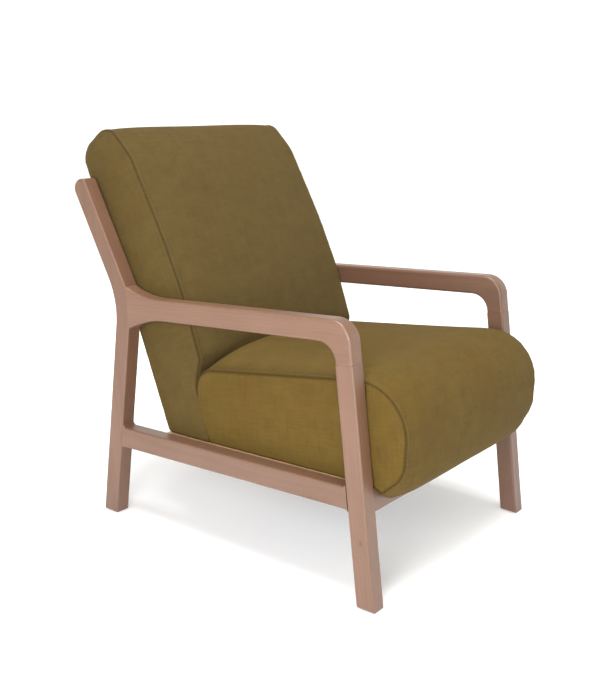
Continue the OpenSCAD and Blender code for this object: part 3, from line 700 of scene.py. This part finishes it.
def inflate(obj, hold, pressure, cap):
    """Cloth simulation of the filled cover: the seams and the hidden underside are held, the panels swell."""
    start = coords(obj)
    group = obj.vertex_groups.new(name="hold")
    for weight in (HOLD_FULL, HOLD_PART, HOLD_LIGHT):
        chosen = np.nonzero(np.abs(hold - weight) < 1e-6)[0]
        group.add([int(i) for i in chosen], weight, "REPLACE")
    cloth = obj.modifiers.new("cloth", "CLOTH")
    st = cloth.settings
    st.vertex_group_mass = "hold"
    st.pin_stiffness = 1.0
    st.use_pressure = True
    st.uniform_pressure_force = pressure
    st.quality = 4
    st.mass = 0.25
    st.tension_stiffness = st.compression_stiffness = 18
    st.shear_stiffness = 8
    st.bending_stiffness = 2.0
    st.tension_damping = st.compression_damping = 12
    st.air_damping = 2.0
    st.effector_weights.gravity = 0.0
    cloth.collision_settings.use_collision = False
    cloth.collision_settings.use_self_collision = False
    cloth.point_cache.frame_start, cloth.point_cache.frame_end = 1, CLOTH_FRAMES
    scene = bpy.context.scene
    for f in range(1, CLOTH_FRAMES + 1):
        scene.frame_set(f)
    deps = bpy.context.evaluated_depsgraph_get()
    ev = obj.evaluated_get(deps)
    moved = np.zeros(len(ev.data.vertices) * 3, np.float32)
    ev.data.vertices.foreach_get("co", moved)
    moved = moved.reshape(-1, 3).astype(float)
    obj.modifiers.remove(cloth)
    scene.frame_set(1)
    step = moved - start
    length = np.linalg.norm(step, axis=1, keepdims=True)
    limit = np.where(length > cap, cap / np.maximum(length, 1e-9), 1.0)
    set_coords(obj, start + step * limit)


def surface(obj):
    return BVHTree.FromObject(obj, bpy.context.evaluated_depsgraph_get())


def cushion(name, side_c, mid_c, counts, nodes, pressure, cap, hidden, side_bulge, tilt, rear_power=4.5):
    obj = cushion_mesh(name, side_c, mid_c, counts, rear_power=rear_power)
    remesh = obj.modifiers.new("remesh", "REMESH")
    remesh.mode, remesh.voxel_size, remesh.use_smooth_shade = "VOXEL", VOXEL, True
    apply_modifier(obj, remesh)
    loops, run = seam_loops(side_c, counts, 4.0)
    co = coords(obj)
    dist, _ = nearest(co, loops)
    hold = np.where(hidden(co), HOLD_FULL, 0.0)
    hold = np.where(dist < FULL_BAND, HOLD_FULL, np.where(dist < PART_BAND, HOLD_PART, hold))
    hold = np.where((dist < LIGHT_BAND) & (hold == 0.0), HOLD_LIGHT, hold)
    inflate(obj, hold, pressure, cap)
    smooth = obj.modifiers.new("smooth", "SMOOTH")
    smooth.factor, smooth.iterations = 0.5, 3
    apply_modifier(obj, smooth)
    sub = obj.modifiers.new("sub", "SUBSURF")
    sub.levels = sub.render_levels = 1
    apply_modifier(obj, sub)
    # The cover is tight at its seams: the surface is drawn out to the seam lines again
    tree = surface(obj)
    feet = np.array([tree.find_nearest(Vector(p))[0] for p in loops])
    pull = np.array(loops) - feet
    co = coords(obj)
    away, hit = nearest(co, [tuple(f) for f in feet])
    co += pull[hit] * np.exp(-(away / SEAM_PULL) ** 2)[:, None]
    set_coords(obj, co)
    # Side panels: filled out between their seams
    co, no = coords(obj), normals(obj)
    dist, hit = nearest(co, loops)
    on_side = np.clip((np.abs(no[:, 0]) - 0.55) / 0.3, 0, 1)
    filled = 1 - np.exp(-np.maximum(dist - BULGE_FROM, 0) / BULGE_REACH)
    co[:, 0] += np.sign(co[:, 0]) * side_bulge * MM * on_side * filled
    limit = (INNER_X - FRAME_CLEAR) * MM
    co[:, 0] = np.clip(co[:, 0], -limit, limit)
    # Sewn seam: a sharp fold, with small puckers that the thread pulls in along it
    s = run[hit]
    pucker = np.sin(s / 5.3 + 2.2 * np.sin(s / 61.0)) * np.sin(s / 23.0 + 1.0)
    fold = FOLD_DEPTH * np.exp(-(dist / FOLD_WIDTH) ** 2)
    soft = PUCKER_DEPTH * pucker * np.exp(-((dist - PUCKER_REACH) / PUCKER_REACH) ** 2)
    co -= no * (fold + soft)[:, None]
    set_coords(obj, co)
    # Panel coordinates for the weave, and the seam mask for the painted shade along the seams
    co, no = coords(obj), normals(obj)
    side = np.abs(no[:, 0]) > 0.62
    mid_pts, mid_s = resample(loop_points(side_c, counts), 3.0)
    profile = co[:, 1:] / MM - [ORIGIN_Y, 0]
    _, near_mid = nearest([(0, y * MM, z * MM) for y, z in profile],
                          [(0, y * MM, z * MM) for y, z in mid_pts])
    around = outline_length(profile, mid_pts, mid_s, near_mid) * MM
    wrap = np.stack([co[:, 0], around, np.zeros(len(co))], 1)
    c, d = math.cos(math.radians(tilt)), math.sin(math.radians(tilt))
    panel = np.stack([co[:, 1] * c - co[:, 2] * d, co[:, 2] * c + co[:, 1] * d, np.ones(len(co))], 1)
    vector_attribute(obj, "cloth", np.where(side[:, None], panel, wrap))
    float_attribute(obj, "seam", np.exp(-(dist / SEAM_SHADE_WIDTH) ** 2))
    for poly in obj.data.polygons:
        poly.use_smooth = True
    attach(obj, "root")
    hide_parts(*nodes)
    return obj


def outline_length(points, pts, s, index):
    """Arc length of each point's foot on the outline, so that weave coordinates run on smoothly."""
    n = len(pts)
    a, b = pts[(index - 1) % n], pts[(index + 1) % n]
    step = s[1] - s[0]
    d = b - a
    t = np.einsum("ij,ij->i", points - pts[index], d) / np.einsum("ij,ij->i", d, d)
    return s[index] + np.clip(t, -0.5, 0.5) * 2 * step


# One linen in two tints: the seat's is painted warmer and the back's darker and cooler, as painted light
# standing in for warmer light on the seat and dimmer, cooler light on the back
FABRIC, FABRIC_DARK = srgb(81, 64, 25), srgb(63, 47, 16)
BACK_FABRIC, BACK_FABRIC_DARK = srgb(75, 61, 30), srgb(57, 44, 20)


seat = cushion("seat_cushion", SEAT_SIDE, SEAT_MID, seat_counts, ("seat_cover", "seat_foam"), 4.0, 0.008,
               lambda co: (co[:, 2] < 0.2415) & (co[:, 1] > -0.37), 4.0, 9.0, rear_power=3.0)
seat.data.materials.append(woven("linen_seat", FABRIC, FABRIC_DARK, 0.0))
back = cushion("back_cushion", BACK_SIDE, BACK_MID, back_counts, ("back_cover", "back_foam"), 4.0, 0.008,
               lambda co: co[:, 2] < 0.26, 4.0, 26.0)
back.data.materials.append(woven("linen_back", BACK_FABRIC, BACK_FABRIC_DARK, 3.7))


STITCH_PITCH = 7.5        # mm along the seam
STITCH_SIDES = 6
# Radii of a stitch and its height above the cover, at its ends and its middle (metres)
STITCH_ENDS_R, STITCH_MIDDLE_R = 0.00032, 0.00046
STITCH_ENDS_LIFT, STITCH_MIDDLE_LIFT = 0.00005, 0.00045


def stitches(name, cushion_obj, side_c, counts, offset):
    """Row of single thread stitches beside each seam, laid on the cushion's finished surface."""
    tree = surface(cushion_obj)
    pts, _ = resample(loop_points(side_c, counts), STITCH_PITCH)
    inner = inset_points([vec(*p) for p in pts], [0.0] * len(pts))
    verts, faces = [], []
    for sx in (-1, 1):
        for i, p in enumerate(inner):
            q = inner[(i + 1) % len(inner)]
            ends = []
            for f in (0.16, 0.50, 0.84):
                at = p + (q - p) * f
                beside = Vector((sx * (SEAM_X - offset) * MM, (at[0] + ORIGIN_Y) * MM, at[1] * MM))
                hit = tree.find_nearest(beside)
                lift = STITCH_MIDDLE_LIFT if f == 0.5 else STITCH_ENDS_LIFT
                ends.append((np.array(hit[0]) + np.array(hit[1]) * lift, np.array(hit[1])))
            along = unit(ends[2][0] - ends[0][0])
            base = len(verts)
            for j, (c, nrm) in enumerate(ends):
                across = unit(np.cross(along, nrm))
                up = np.cross(across, along)
                r = STITCH_MIDDLE_R if j == 1 else STITCH_ENDS_R
                verts += [tuple(c + r * (across * math.cos(a) + up * math.sin(a)))
                          for a in np.arange(STITCH_SIDES) * math.pi / 3]
            for j in range(2):
                near, far = base + j * STITCH_SIDES, base + (j + 1) * STITCH_SIDES
                for k in range(STITCH_SIDES):
                    m = (k + 1) % STITCH_SIDES
                    faces.append((near + k, near + m, far + m, far + k))
            faces.append(tuple(base + k for k in range(STITCH_SIDES - 1, -1, -1)))
            faces.append(tuple(base + 2 * STITCH_SIDES + k for k in range(STITCH_SIDES)))
    obj = new_object(name, verts, faces)
    thread = plain("thread_" + name, srgb(88, 70, 32), 0.6, 0.0, (2500, 2500, 2500), 0.25, 0.3)
    obj.data.materials.append(thread)
    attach(obj, "root")
    return obj


stitches("seat_stitching", seat, SEAT_SIDE, seat_counts, 6.0)
stitches("back_stitching", back, BACK_SIDE, back_counts, 6.0)

# ---------------------------------------------------------------- the other CAD nodes keep their shapes

pine_x = softwood("pine_across", 0, srgb(214, 182, 138), srgb(170, 128, 84), 1.7)
pine_y = softwood("pine_lengthwise", 1, srgb(210, 178, 134), srgb(166, 124, 82), 4.3)
steel = plain("zinc_plated_steel", (0.55, 0.56, 0.58), 0.34, 1.0, (700, 700, 700), 0.10, 0.06)
finishes = {
    "glide": plain("glide_plastic", (0.02, 0.02, 0.022), 0.5, 0.0, (900, 900, 900), 0.3, 0.1),
    "felt": plain("felt", (0.10, 0.10, 0.10), 0.95, 0.0, (900, 900, 120), 0.5, 0.5),
    "webbing": plain("webbing", (0.02, 0.02, 0.02), 0.8, 0.0, (40, 1600, 1600), 0.6, 0.5),
    "lining": plain("lining", (0.018, 0.018, 0.018), 0.92, 0.0, (1100, 1100, 1100), 0.6, 0.4),
    "dowel": softwood("dowel_beech", 0, srgb(206, 172, 132), srgb(172, 132, 94), 2.2),
    "support": softwood("beech_across", 0, OUTER_LIGHT, OUTER_DARK, 2.9),
}
for node_name, node in NODES.items():
    if node.hide_render:
        continue
    if "glide" in node_name:
        mat = finishes["glide"]
    elif "dowel" in node_name:
        mat = finishes["dowel"]
    elif node_name == "spring_pad":
        mat = finishes["felt"]
    elif node_name == "back_webbing":
        mat = finishes["webbing"]
    elif node_name == "dust_cover":
        mat = finishes["lining"]
    elif node_name == "back_support_board":           # it shows from behind; coloured like the frame
        mat = finishes["support"]
    elif "side_board" in node_name or "upright" in node_name:
        mat = pine_y
    elif "board" in node_name:
        mat = pine_x
    else:
        mat = steel
    node.data.materials.clear()
    node.data.materials.append(mat)

# ---------------------------------------------------------------- floor, light and camera


def sweep():
    """Round floor that rises softly into a backdrop on every side."""
    profile = [(0, 0), (2, 0), (4, 0), (6, 0), (7, 0)]
    profile += [(7 + 2.2 * math.sin(a), 2.2 * (1 - math.cos(a))) for a in np.linspace(0.15, math.pi / 2, 10)]
    profile += [(9.2, 4.0), (9.2, 6.0)]
    n = 96
    verts, faces = [], []
    for r, z in profile:
        for i in range(n):
            a = 2 * math.pi * i / n
            verts.append((max(r, 0.001) * math.cos(a), max(r, 0.001) * math.sin(a), z))
    for j in range(len(profile) - 1):
        for i in range(n):
            k = (i + 1) % n
            faces.append((j * n + i, j * n + k, (j + 1) * n + k, (j + 1) * n + i))
    obj = new_object("floor", verts, faces)
    net = Net("pale_glowing_floor")
    tex = net.tree.nodes.new("ShaderNodeTexCoord").outputs["Object"]
    grain = net.noise(net.mapping(tex, (40, 40, 40)), 1.0, 2.0)
    shade = net.ramp(grain, [(0.3, (0.83, 0.83, 0.83)), (0.7, (0.85, 0.85, 0.85))])
    net.link(shade, net.bsdf.inputs["Base Color"])
    net.bsdf.inputs["Roughness"].default_value = 0.9
    net.bsdf.inputs["Specular IOR Level"].default_value = 0.1
    net.bsdf.inputs["Emission Color"].default_value = (1, 1, 1, 1)
    # Painted light: the floor glows, more strongly up the backdrop, to keep it white and to lighten the
    # chair's shadow on it; the glow also lights the chair from below
    height = net.separate(tex)[2]
    net.link(net.span(height, 0.0, 0.6, 0.20, 0.46), net.bsdf.inputs["Emission Strength"])
    obj.data.materials.append(net.mat)
    obj.visible_shadow = False
    return obj


sweep()


def area(name, at, target, size, power, colour=(1, 1, 1)):
    data = bpy.data.lights.new(name, "AREA")
    data.shape, data.size, data.energy, data.color = "DISK", size, power, colour
    obj = bpy.data.objects.new(name, data)
    bpy.context.scene.collection.objects.link(obj)
    obj.location = at
    obj.rotation_euler = (Vector(target) - Vector(at)).to_track_quat("-Z", "Y").to_euler()


area("key", (-2.1, -0.95, 0.95), (0, -0.1, 0.35), 1.0, 50, (1.0, 1.0, 1.05))
area("top", (-0.7, -0.3, 5.4), (0, 0, 0.3), 3.4, 385)
world = bpy.data.worlds.new("studio")
bpy.context.scene.world = world
world.use_nodes = True
tree = world.node_tree
where = tree.nodes.new("ShaderNodeTexCoord").outputs["Generated"]
split = tree.nodes.new("ShaderNodeSeparateXYZ")
tree.links.new(where, split.inputs[0])
warm = tree.nodes.new("ShaderNodeValToRGB")          # warmer light from in front of the chair
warm.color_ramp.elements[0].position, warm.color_ramp.elements[0].color = 0.15, (1.0, 0.94, 0.60, 1)
warm.color_ramp.elements[1].position, warm.color_ramp.elements[1].color = 0.65, (1.0, 1.0, 1.0, 1)
half = tree.nodes.new("ShaderNodeMapRange")
half.inputs["From Min"].default_value, half.inputs["From Max"].default_value = -1.0, 1.0
tree.links.new(split.outputs["Y"], half.inputs["Value"])
tree.links.new(half.outputs["Result"], warm.inputs["Fac"])
tree.links.new(warm.outputs["Color"], tree.nodes["Background"].inputs["Color"])
tree.nodes["Background"].inputs["Strength"].default_value = 0.40
scene = bpy.context.scene
scene.view_settings.view_transform = "Standard"
scene.view_settings.look = "None"

AZ, EL, ROLL, FOCAL_PX = -54.5, 13.6, 3.0, 1061.9
CAMERA_AT = (-1962.6, -940.7, 1033.9)       # mm, with y from the front feet
IMAGE_W, IMAGE_H, CENTRE_U, CENTRE_V = 610, 700, 298.3, 319.2
SENSOR_MM = 36.0
a, e, r = (math.radians(t) for t in (AZ, EL, ROLL))
back_v = vec(math.sin(a) * math.cos(e), -math.cos(a) * math.cos(e), math.sin(e))
right_v = vec(math.cos(a), math.sin(a), 0)
up_v = np.cross(back_v, right_v)
right_r = right_v * math.cos(r) + up_v * math.sin(r)
up_r = -right_v * math.sin(r) + up_v * math.cos(r)
camera_data = bpy.data.cameras.new("camera")
camera = bpy.data.objects.new("camera", camera_data)
scene.collection.objects.link(camera)
rotation = Matrix((right_r, up_r, back_v)).transposed().to_4x4()
camera_at = Vector((CAMERA_AT[0] * MM, (CAMERA_AT[1] + ORIGIN_Y) * MM, CAMERA_AT[2] * MM))
camera.matrix_world = Matrix.Translation(camera_at) @ rotation
camera_data.sensor_fit = "AUTO"
camera_data.sensor_width = SENSOR_MM
camera_data.lens = FOCAL_PX * SENSOR_MM / IMAGE_H
camera_data.shift_x = (IMAGE_W / 2 - CENTRE_U) / IMAGE_H
camera_data.shift_y = -(IMAGE_H / 2 - CENTRE_V) / IMAGE_H
camera_data.clip_end = 50
scene.camera = camera
